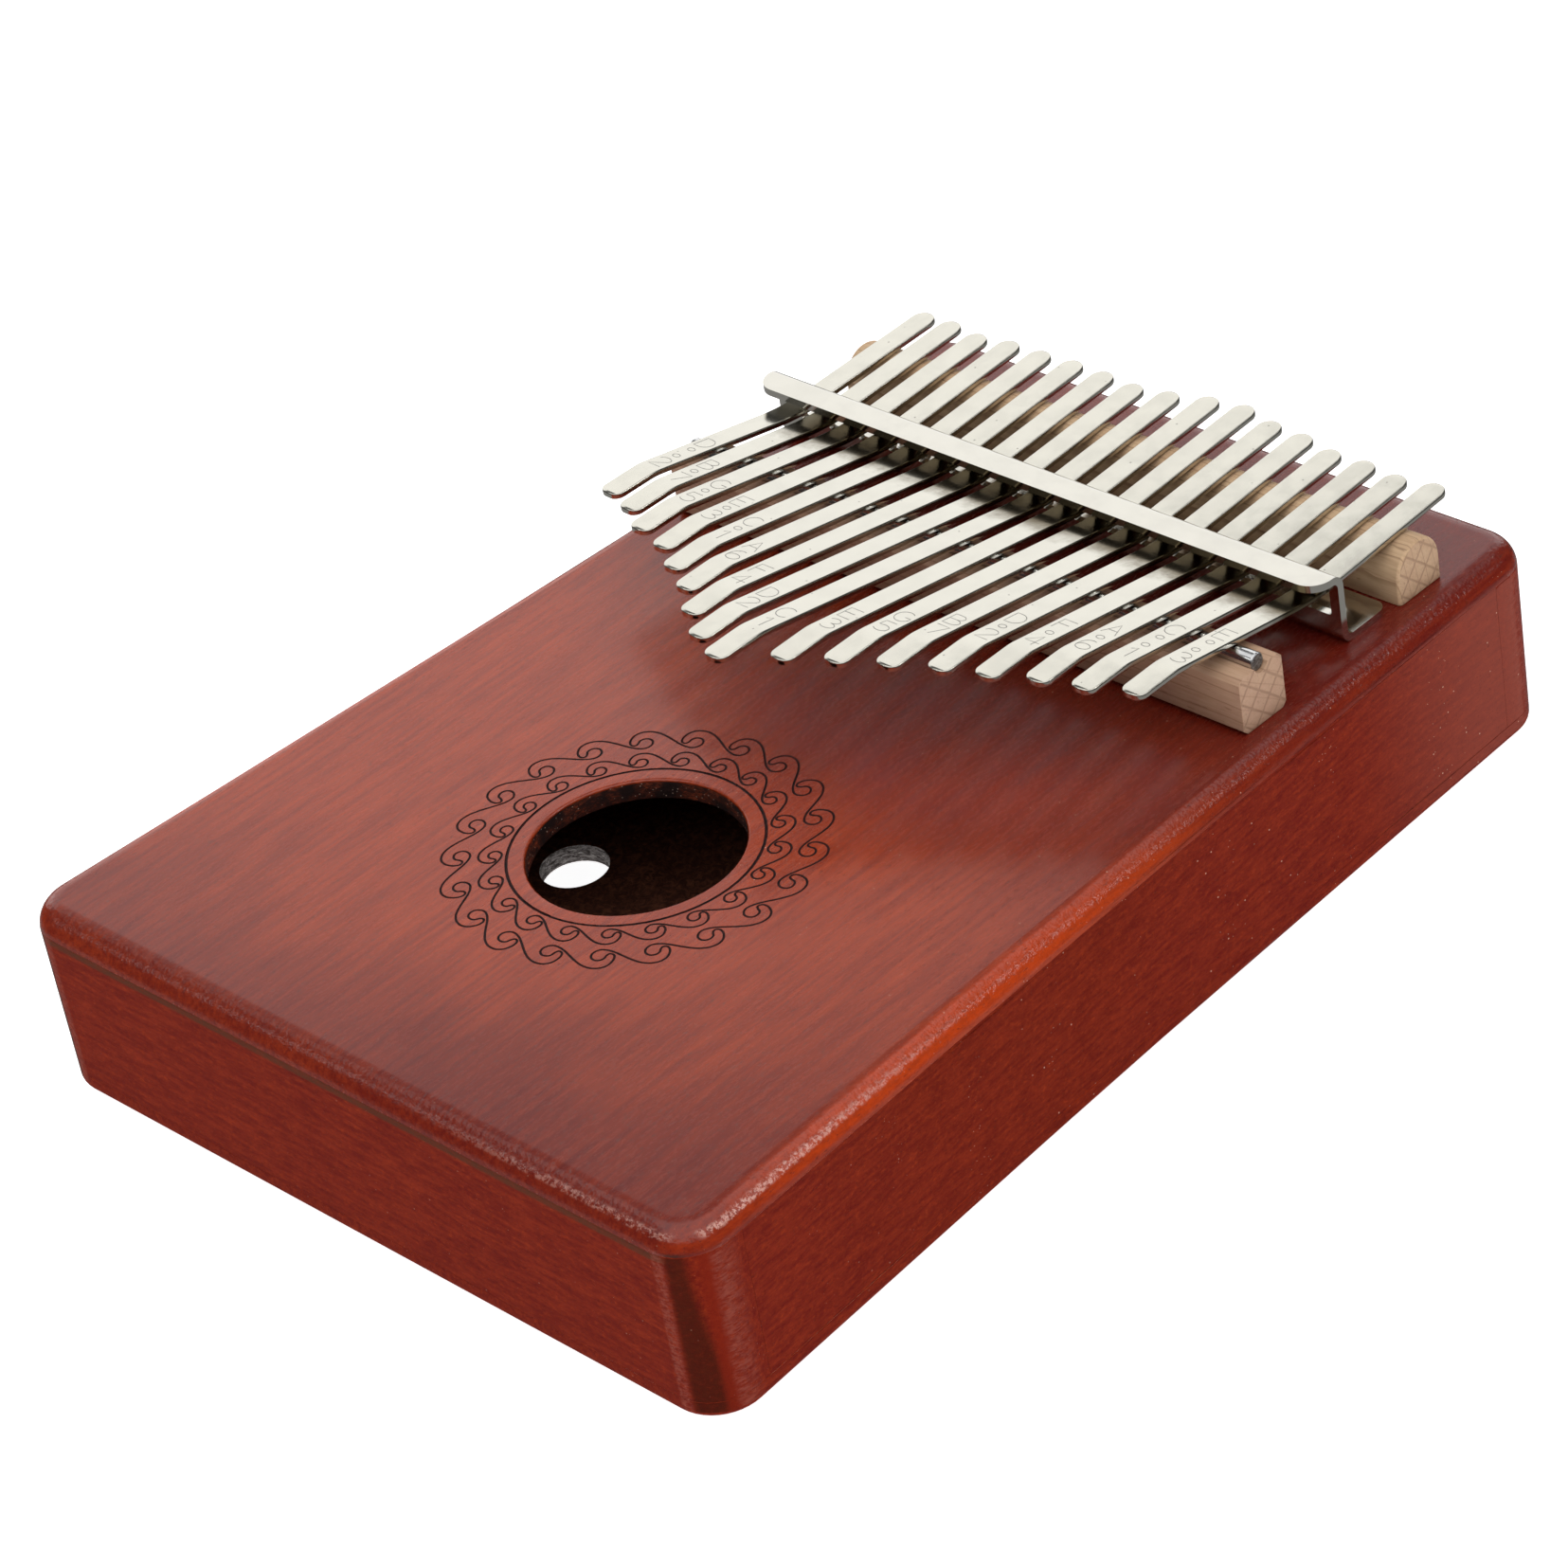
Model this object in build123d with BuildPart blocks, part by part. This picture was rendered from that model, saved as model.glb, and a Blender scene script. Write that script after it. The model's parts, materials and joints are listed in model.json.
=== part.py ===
from build123d import *
import os
from math import atan, cos

# A seventeen-key box mbira. Millimetres. Origin at the centre of the footprint, on the
# underside. +X runs across the keys, from the player's left to the right, +Y runs from the
# sound hole towards the rear ends of the keys, and +Z is up.

# ---- Sound box ----
body_length = 185.0
front_width = 135.5
rear_width = 118.4
side_waist = 1.0
body_height = 31.0
corner_radius = 7.4
top_round = 4.0
bottom_round = 1.5
back_thickness = 3.0
board_thickness = 3.5
side_wall = 7.0
end_wall = 10.0

# ---- Holes in the box ----
hole_y = -34.0
hole_radius = 15.7
hole_edge_break = 0.4
ring_radius = 18.3
ring_groove = 0.22
back_hole_x = 35.8
back_hole_y = -17.8
back_hole_radius = 5.3

# ---- Brace glued under the soundboard, which takes the bracket screws ----
brace_length = 103.0
brace_width = 15.0
brace_depth = 9.0
brace_y = 61.5

# ---- Front bridge bar and the steel saddle rod lying in its groove ----
front_bridge_length = 111.7
front_bridge_width = 9.2
front_bridge_y = 35.6
front_bridge_height = 9.2
front_bridge_break = 0.8
rod_radius = 1.4
rod_length = 110.4
rod_y = 35.9
rod_height = 9.5

# ---- Back bridge, a bar with a round top ----
back_bridge_length = 108.8
back_bridge_radius = 4.7
back_bridge_y = 72.2
back_bridge_height = 8.7

# ---- Folded steel pressure bracket ----
sheet = 1.2
bracket_length = 110.4
bracket_x = -1.6
bracket_height = 12.0
web_y = 56.2
top_flange_reach = 5.8
foot_reach = 10.2
inner_bend = 1.0
top_flange_corner = 3.5
foot_corner = 2.0
slot_width = 4.7
slot_bottom = 4.7
slot_top = 10.5
slot_corner = 0.4

# ---- Bracket screws ----
screw_y = 61.5
screw_gaps = (-5.5, -1.5, 1.5, 5.5)
screw_radius = 1.25
screw_clearance = 0.15
screw_length = 10.0
head_radius = 2.6
head_height = 1.7
recess_width = 0.7
recess_length = 2.8
recess_depth = 0.8

# ---- Keys ----
key_count = 17
key_pitch = 6.25
key_middle_x = -0.45
key_width = 4.1
key_thickness = 0.9
key_clearance = 0.2
rear_rise = 0.042
press_radius = 45.0
tip_bend_radius = 10.0
tip_corner = 1.6
tail_corner = 2.0

# Each key's tip and tail along Y, from the leftmost key to the rightmost, the slope at which
# its tongue climbs from the rod, and the few keys that stand askew: how many degrees each is
# turned, and how far it stands from its even place.
key_tips = (14.2, 12.0, 8.2, 6.0, 2.1, -1.5, -6.6, -11.2, -14.2, -7.8, -3.6, 0.3, 4.0, 6.8, 10.3, 12.6, 15.9)
key_tails = (82.5, 82.6, 81.9, 82.8, 83.0, 83.3, 83.2, 82.8, 83.8, 85.6, 86.4, 85.0, 84.6, 83.4, 83.5, 82.9, 83.8)
left_slope = 0.190
right_slope = 0.172
key_turns = {1: -1.7, 2: -1.0, 3: -0.8}
key_shifts = {1: 0.6, 2: 0.1}
flat_length = 8.2

board_top = body_height
board_bottom = body_height - board_thickness
half_length = body_length / 2
web_front = web_y - sheet / 2
web_rear = web_y + sheet / 2

os.makedirs("parts", exist_ok=True)


def key_x(number):
    """Centre of a key where it passes the bracket; number 1 is the leftmost."""
    even_x = key_middle_x + key_pitch * (number - (key_count + 1) / 2)
    return even_x + key_shifts.get(number, 0)


def finish_piece(piece, name):
    """Label a finished piece and write its STEP file."""
    piece.part.label = name
    export_step(piece.part, f"parts/{name}.step")


# ---- Sound box: one outer shape with soft edges, then cut into the boards it is made of ----
with BuildPart() as body_blank:
    with BuildSketch():
        with BuildLine():
            middle_half = (front_width + rear_width) / 4 - side_waist
            Line((-front_width / 2, -half_length), (front_width / 2, -half_length))
            ThreePointArc((front_width / 2, -half_length), (middle_half, 0), (rear_width / 2, half_length))
            Line((rear_width / 2, half_length), (-rear_width / 2, half_length))
            ThreePointArc((-rear_width / 2, half_length), (-middle_half, 0), (-front_width / 2, -half_length))
        make_face()
        fillet(vertices(), radius=corner_radius)
    extrude(amount=body_height)
    fillet(faces().sort_by(Axis.Z)[-1].edges(), radius=top_round)
    fillet(faces().sort_by(Axis.Z)[0].edges(), radius=bottom_round)

with BuildPart() as back_plate:
    add(body_blank.part)
    split(bisect_by=Plane.XY.offset(back_thickness), keep=Keep.BOTTOM)
    with Locations((-back_hole_x, back_hole_y), (back_hole_x, back_hole_y)):
        Hole(radius=back_hole_radius)
finish_piece(back_plate, "back_plate")

with BuildPart() as soundboard:
    add(body_blank.part)
    split(bisect_by=Plane.XY.offset(board_bottom), keep=Keep.TOP)
    with Locations((0, hole_y, board_top)):
        Hole(radius=hole_radius)
    rim_edges = edges().filter_by(GeomType.CIRCLE).filter_by(lambda e: abs(e.radius - hole_radius) < 0.01)
    chamfer(rim_edges, length=hole_edge_break)
    with BuildSketch(Plane.XZ.offset(-hole_y)):
        with Locations((ring_radius, board_top)):
            Circle(ring_groove)
    revolve(axis=Axis((0, hole_y, 0), (0, 0, 1)), mode=Mode.SUBTRACT)
    for gap in screw_gaps:
        with Locations((key_middle_x + gap * key_pitch, screw_y, board_top)):
            Hole(radius=screw_radius)
finish_piece(soundboard, "soundboard")

# The rim between the two boards, with the chamber cut out of it.
with BuildPart() as rim:
    add(body_blank.part)
    split(bisect_by=Plane.XY.offset(back_thickness), keep=Keep.TOP)
    split(bisect_by=Plane.XY.offset(board_bottom), keep=Keep.BOTTOM)
    with BuildSketch(Plane.XY.offset(back_thickness)):
        with BuildLine():
            chamber_front = front_width / 2 - side_wall - side_waist
            chamber_rear = rear_width / 2 - side_wall - side_waist
            chamber_end = half_length - end_wall
            Polyline(
                (-chamber_front, -chamber_end),
                (chamber_front, -chamber_end),
                (chamber_rear, chamber_end),
                (-chamber_rear, chamber_end),
                close=True,
            )
        make_face()
    extrude(amount=board_bottom - back_thickness, mode=Mode.SUBTRACT)

with BuildPart() as front_block:
    add(rim.part)
    split(bisect_by=Plane.XZ.offset(chamber_end), keep=Keep.TOP)
finish_piece(front_block, "front_block")

with BuildPart() as rear_block:
    add(rim.part)
    split(bisect_by=Plane.XZ.offset(-chamber_end), keep=Keep.BOTTOM)
finish_piece(rear_block, "rear_block")

with BuildPart() as side_pair:
    add(rim.part)
    split(bisect_by=Plane.XZ.offset(chamber_end), keep=Keep.BOTTOM)
    split(bisect_by=Plane.XZ.offset(-chamber_end), keep=Keep.TOP)

with BuildPart() as left_side:
    add(side_pair.part)
    split(bisect_by=Plane.YZ, keep=Keep.BOTTOM)
finish_piece(left_side, "left_side")

with BuildPart() as right_side:
    add(side_pair.part)
    split(bisect_by=Plane.YZ, keep=Keep.TOP)
finish_piece(right_side, "right_side")

with BuildPart() as bracket_brace:
    with BuildSketch(Plane.XY.offset(board_bottom - brace_depth)):
        with Locations((0, brace_y)):
            Rectangle(brace_length, brace_width)
    extrude(amount=brace_depth)
    for gap in screw_gaps:
        with Locations((key_middle_x + gap * key_pitch, screw_y, board_bottom)):
            Hole(radius=screw_radius, depth=screw_length - sheet - board_thickness)
finish_piece(bracket_brace, "bracket_brace")

# ---- Front bridge and saddle rod ----
with BuildPart() as front_bridge:
    with BuildSketch(Plane.YZ.offset(-front_bridge_length / 2)):
        with Locations((front_bridge_y, board_top)):
            Rectangle(front_bridge_width, front_bridge_height, align=(Align.CENTER, Align.MIN))
        chamfer(vertices().group_by(Axis.Z)[-1], length=front_bridge_break)
        with Locations((rod_y, board_top + rod_height)):
            Circle(rod_radius, mode=Mode.SUBTRACT)
    extrude(amount=front_bridge_length)
finish_piece(front_bridge, "front_bridge")

with BuildPart() as saddle_rod:
    with BuildSketch(Plane.YZ.offset(-rod_length / 2)):
        with Locations((rod_y, board_top + rod_height)):
            Circle(rod_radius)
    extrude(amount=rod_length)
    chamfer(faces().filter_by(Axis.X).edges(), length=0.2)
finish_piece(saddle_rod, "saddle_rod")

# ---- Back bridge ----
with BuildPart() as back_bridge:
    with BuildSketch(Plane.YZ.offset(-back_bridge_length / 2)):
        crown_level = board_top + back_bridge_height - back_bridge_radius
        bridge_front = back_bridge_y - back_bridge_radius
        bridge_rear = back_bridge_y + back_bridge_radius
        with BuildLine():
            Polyline(
                (bridge_front, crown_level),
                (bridge_front, board_top),
                (bridge_rear, board_top),
                (bridge_rear, crown_level),
            )
            crown_top = (back_bridge_y, board_top + back_bridge_height)
            ThreePointArc((bridge_rear, crown_level), crown_top, (bridge_front, crown_level))
        make_face()
    extrude(amount=back_bridge_length)
    chamfer(faces().filter_by(Axis.X).edges().group_by(Axis.Z)[1:], length=0.4)
finish_piece(back_bridge, "back_bridge")

# ---- Pressure bracket: a Z-folded strip with one slot for each key ----
with BuildPart() as z_bracket:
    with BuildSketch(Plane.YZ.offset(bracket_x - bracket_length / 2)):
        flange_top = board_top + bracket_height
        foot_top = board_top + sheet
        with BuildLine():
            Polyline(
                (web_rear - top_flange_reach, flange_top),
                (web_rear, flange_top),
                (web_rear, foot_top),
                (web_front + foot_reach, foot_top),
                (web_front + foot_reach, board_top),
                (web_front, board_top),
                (web_front, flange_top - sheet),
                (web_rear - top_flange_reach, flange_top - sheet),
                close=True,
            )
        make_face()
        outer_corners = [(web_rear, flange_top), (web_front, board_top)]
        inner_corners = [(web_rear, foot_top), (web_front, flange_top - sheet)]
        for corner in outer_corners:
            fillet(vertices().sort_by_distance(corner)[0], radius=inner_bend + sheet)
        for corner in inner_corners:
            fillet(vertices().sort_by_distance(corner)[0], radius=inner_bend)
    extrude(amount=bracket_length)
    upright_edges = edges().filter_by(Axis.Z)
    fillet(upright_edges.group_by(Axis.Y)[0], radius=top_flange_corner)
    fillet(edges().filter_by(Axis.Z).group_by(Axis.Y)[-1], radius=foot_corner)
    with BuildSketch(Plane.XZ.offset(-web_rear - sheet)):
        slot_middle = board_top + (slot_top + slot_bottom) / 2
        with Locations(*[(key_x(number), slot_middle) for number in range(1, key_count + 1)]):
            RectangleRounded(slot_width, slot_top - slot_bottom, slot_corner)
    extrude(amount=3 * sheet, mode=Mode.SUBTRACT)
    for gap in screw_gaps:
        with Locations((key_middle_x + gap * key_pitch, screw_y, foot_top)):
            Hole(radius=screw_radius + screw_clearance, depth=sheet)
finish_piece(z_bracket, "z_bracket")

# ---- Pan-head screws that hold the bracket's foot, kept together as one node ----
with BuildPart() as bracket_screws:
    for gap in screw_gaps:
        screw_x = key_middle_x + gap * key_pitch
        with BuildSketch(Plane.XY.offset(foot_top)):
            with Locations((screw_x, screw_y)):
                Circle(head_radius)
        extrude(amount=head_height)
        with BuildSketch(Plane.XY.offset(foot_top)):
            with Locations((screw_x, screw_y)):
                Circle(screw_radius)
        extrude(amount=-screw_length)
    fillet(faces().filter_by(Axis.Z).group_by(Axis.Z)[-1].edges(), radius=1.0)
    for gap in screw_gaps:
        screw_x = key_middle_x + gap * key_pitch
        with BuildSketch(Plane.XY.offset(foot_top + head_height)):
            with Locations((screw_x, screw_y)):
                Rectangle(recess_length, recess_width)
                Rectangle(recess_width, recess_length)
        extrude(amount=-recess_depth, mode=Mode.SUBTRACT)
finish_piece(bracket_screws, "bracket_screws")

# ---- Keys: spring-steel strips over the back bridge, under the bracket and over the rod ----
tail_level = back_bridge_height + key_clearance + key_thickness / 2
for number in range(1, key_count + 1):
    slope = left_slope if number <= 9 else right_slope
    tip_y = key_tips[number - 1]
    tail_y = key_tails[number - 1]
    rod_level = rod_height + (rod_radius + key_clearance + key_thickness / 2) / cos(atan(slope))
    # The straight tail and the straight tongue meet at the knee, which a wide bend rounds off.
    knee_y = (rod_level - tail_level + slope * rod_y + rear_rise * back_bridge_y) / (slope + rear_rise)
    knee_level = rod_level + slope * (rod_y - knee_y)
    bend_y = tip_y + flat_length
    bend_level = rod_level + slope * (rod_y - bend_y)
    tail_end_level = tail_level + rear_rise * (tail_y - back_bridge_y)
    key_plane = Plane(origin=(key_x(number), web_y, board_top)).rotated((0, 0, key_turns.get(number, 0)))
    side_plane = Plane(origin=key_plane.origin, x_dir=key_plane.y_dir, z_dir=key_plane.x_dir)
    with BuildPart() as key:
        with BuildLine(side_plane) as spine:
            Polyline(
                (tail_y - web_y, tail_end_level),
                (knee_y - web_y, knee_level),
                (bend_y - web_y, bend_level),
                (tip_y - web_y, bend_level),
            )
            knee_point = side_plane.from_local_coords((knee_y - web_y, knee_level, 0))
            bend_point = side_plane.from_local_coords((bend_y - web_y, bend_level, 0))
            fillet(vertices().sort_by_distance(knee_point)[0], radius=press_radius)
            fillet(vertices().sort_by_distance(bend_point)[0], radius=tip_bend_radius)
        with BuildSketch(Plane(origin=spine.line @ 0, x_dir=key_plane.x_dir, z_dir=spine.line % 0)):
            Rectangle(key_width, key_thickness)
        sweep(path=spine.line)
        # The strip's ends are rounded in plan.
        with BuildSketch(key_plane):
            with Locations((0, (tip_y + tail_y) / 2 - web_y)):
                Rectangle(key_width, tail_y - tip_y)
            fillet(vertices().group_by(Axis.Y)[0], radius=tip_corner)
            fillet(vertices().group_by(Axis.Y)[-1], radius=tail_corner)
        extrude(amount=2 * body_height, mode=Mode.INTERSECT)
    finish_piece(key, f"key_{number:02d}")
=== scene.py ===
import json
import math

import bmesh
import bpy
import numpy as np
from mathutils import Matrix, Vector

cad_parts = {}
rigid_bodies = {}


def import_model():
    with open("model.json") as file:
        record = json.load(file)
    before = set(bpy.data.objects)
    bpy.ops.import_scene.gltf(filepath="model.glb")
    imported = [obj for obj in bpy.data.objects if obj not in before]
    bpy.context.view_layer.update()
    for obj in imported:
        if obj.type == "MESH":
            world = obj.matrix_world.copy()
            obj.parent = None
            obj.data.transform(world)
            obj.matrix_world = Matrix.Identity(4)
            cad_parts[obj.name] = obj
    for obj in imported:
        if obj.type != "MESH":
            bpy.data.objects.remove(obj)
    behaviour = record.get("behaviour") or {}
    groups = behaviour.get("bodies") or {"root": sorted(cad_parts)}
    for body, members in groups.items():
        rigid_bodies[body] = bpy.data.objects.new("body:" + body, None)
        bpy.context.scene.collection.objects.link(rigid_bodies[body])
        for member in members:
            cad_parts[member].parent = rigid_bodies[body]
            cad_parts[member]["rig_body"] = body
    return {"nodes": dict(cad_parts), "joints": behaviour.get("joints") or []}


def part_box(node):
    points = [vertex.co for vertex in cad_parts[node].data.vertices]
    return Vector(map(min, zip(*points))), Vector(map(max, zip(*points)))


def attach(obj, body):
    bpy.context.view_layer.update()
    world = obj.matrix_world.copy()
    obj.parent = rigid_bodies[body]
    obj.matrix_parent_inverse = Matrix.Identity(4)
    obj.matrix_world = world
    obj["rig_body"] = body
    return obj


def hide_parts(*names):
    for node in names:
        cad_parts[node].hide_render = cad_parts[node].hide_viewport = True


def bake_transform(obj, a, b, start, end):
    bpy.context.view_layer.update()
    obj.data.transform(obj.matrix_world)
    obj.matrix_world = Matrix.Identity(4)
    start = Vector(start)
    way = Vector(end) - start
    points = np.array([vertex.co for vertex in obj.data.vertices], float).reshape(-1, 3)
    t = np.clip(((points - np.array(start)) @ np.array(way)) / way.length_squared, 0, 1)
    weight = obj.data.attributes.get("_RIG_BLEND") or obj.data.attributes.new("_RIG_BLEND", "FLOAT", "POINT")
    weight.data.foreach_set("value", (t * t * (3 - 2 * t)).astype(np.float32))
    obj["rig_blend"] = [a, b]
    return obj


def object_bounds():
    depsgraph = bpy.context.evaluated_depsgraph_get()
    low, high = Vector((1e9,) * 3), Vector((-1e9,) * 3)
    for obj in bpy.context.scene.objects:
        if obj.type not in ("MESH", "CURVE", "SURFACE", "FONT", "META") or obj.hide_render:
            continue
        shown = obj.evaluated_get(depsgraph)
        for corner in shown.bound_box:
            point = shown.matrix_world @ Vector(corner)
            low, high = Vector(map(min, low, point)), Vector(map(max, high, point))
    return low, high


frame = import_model()
cad_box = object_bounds()

MM = 0.001
KEY_COUNT = 17

# ---- Camera ----
CAMERA_PLACE = Vector((0.4767, -0.4101, 0.4547))
CAMERA_LOOK = Vector((-0.62547, 0.52758, -0.57485))
CAMERA_ROLL = -10.416
CAMERA_LENS = 122.58
CAMERA_SHIFT = (0.0027, 0.0327)

# ---- Engraved running scrolls round the sound hole ----
HOLE_CENTRE = Vector((0.0, -34.0, 0.0)) * MM
HOLE_RADIUS = 15.7 * MM
RING_RADIUS = 18.3 * MM
RING_POINTS = 36
EDGE_BAND = 8 * MM
SCROLLS = 21
SCROLL_ROWS = ((24.85 * MM, 183.5), (20.05 * MM, 184.3))
LINE_RADIUS = 0.18 * MM

# One scroll: degrees on from its eye, and height as a share of the eye's radius.
SCROLL_POINTS = (
    (-4.9, 0.014), (-4.3, 0.066), (-2.6, 0.103), (0.2, 0.117), (3.6, 0.099), (6.6, 0.060),
    (9.6, 0.014), (12.6, -0.026), (15.2, -0.046), (17.4, -0.049), (19.1, -0.030), (19.8, 0.000),
    (19.0, 0.034), (17.2, 0.046), (15.5, 0.032), (14.9, 0.006), (14.0, -0.011), (12.9, -0.007),
)

# ---- Keys ----
KEY_WIDTH = 4.1 * MM
KEY_EDGE = 0.2 * MM
TIP_CORNER = 1.6 * MM
TAIL_CORNER = 2.0 * MM
STATION_STEP = 0.8 * MM
BEND_LENGTH = 8 * MM
FLAT_LENGTH = 8.2
MARK_GAP = 3.0
MARK_TO_BEND = 2.9
PAIR_GAP = 3.9
MARK_WIDTH = 1.3
NOTES = ("D..2", "B.7", "G.5", "E.3", "C.1", "A6", "F4", "D2", "C1",
         "E3", "G5", "B7", "D.2", "F.4", "A.6", "C..1", "E..3")


def linear(red, green, blue):
    """An sRGB colour, 0 to 255, as the linear colour that sockets take."""
    shares = [c / 255 for c in (red, green, blue)]
    return tuple(((c + 0.055) / 1.055) ** 2.4 if c > 0.04 else c / 12.92 for c in shares) + (1.0,)


STAIN_DEEP = linear(146, 50, 25)
STAIN_WARM = linear(182, 70, 32)
END_DEEP = linear(108, 26, 18)
END_WARM = linear(134, 42, 22)
SIDE_DEEP = linear(106, 26, 11)
SIDE_WARM = linear(128, 38, 15)
STAIN_FLECK = linear(170, 62, 22)
EDGE_ORANGE = linear(198, 66, 16)
REFLECTED_DULL = linear(86, 50, 34)
REFLECTED_PALE = linear(146, 78, 66)
DARK_PORE_AND_REFLECTION = linear(62, 24, 14)
CORNER_RED = linear(122, 33, 17)
GLINT_PALE = linear(226, 170, 154)
DUST = linear(224, 184, 160)


# ------------------------------------------------------------------------------------------
# Material helpers
# ------------------------------------------------------------------------------------------
class Shade:
    """A node tree being built: its last node is a Principled shader."""

    def __init__(self, name):
        self.material = bpy.data.materials.new(name)
        self.material.use_nodes = True
        self.tree = self.material.node_tree
        self.tree.nodes.clear()
        self.shader = self.tree.nodes.new("ShaderNodeBsdfPrincipled")
        output = self.tree.nodes.new("ShaderNodeOutputMaterial")
        self.tree.links.new(self.shader.outputs[0], output.inputs[0])
        self.coords = self.tree.nodes.new("ShaderNodeTexCoord")
        self.place = self.coords.outputs["Object"]

    def node(self, kind, inputs, output=0, **settings):
        """A node with its inputs linked or set; gives the wanted output."""
        made = self.tree.nodes.new("ShaderNode" + kind)
        for key, value in settings.items():
            setattr(made, key, value)
        for key, value in inputs.items():
            self.put(made.inputs[key], value)
        return made.outputs[output]

    def put(self, socket, value):
        if isinstance(value, bpy.types.NodeSocket):
            self.tree.links.new(value, socket)
        else:
            socket.default_value = value

    def stretched(self, along):
        """Object coordinates in millimetres, drawn out along X, Y and Z by a number of times."""
        scale = [1 / MM / a for a in along]
        return self.node("Mapping", {"Vector": self.place, "Scale": scale})

    def noise(self, vector, scale, detail=4.0, rough=0.55, twist=0.0, output=0):
        inputs = {"Vector": vector, "Scale": scale, "Detail": detail, "Roughness": rough, "Distortion": twist}
        return self.node("TexNoise", inputs, output)

    def span(self, value, low, high, to_low=0.0, to_high=1.0):
        inputs = {0: value, 1: low, 2: high, 3: to_low, 4: to_high}
        return self.node("MapRange", inputs, clamp=True, interpolation_type="SMOOTHSTEP")

    def blend(self, share, first, second, kind="MIX"):
        """Two colours mixed."""
        inputs = {0: share, 6: first, 7: second}
        return self.node("Mix", inputs, 2, data_type="RGBA", blend_type=kind, clamp_factor=True)

    def calc(self, kind, first, second):
        return self.node("Math", {0: first, 1: second}, operation=kind)

    def bump(self, height, depth, under=None):
        inputs = {"Height": height, "Distance": depth, "Strength": 1.0}
        if under is not None:
            inputs["Normal"] = under
        return self.node("Bump", inputs)

    def split(self, vector):
        made = self.tree.nodes.new("ShaderNodeSeparateXYZ")
        self.tree.links.new(vector, made.inputs[0])
        return made.outputs

    def finish(self, **values):
        for key, value in values.items():
            self.put(self.shader.inputs[key.replace("_", " ")], value)
        return self.material


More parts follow.
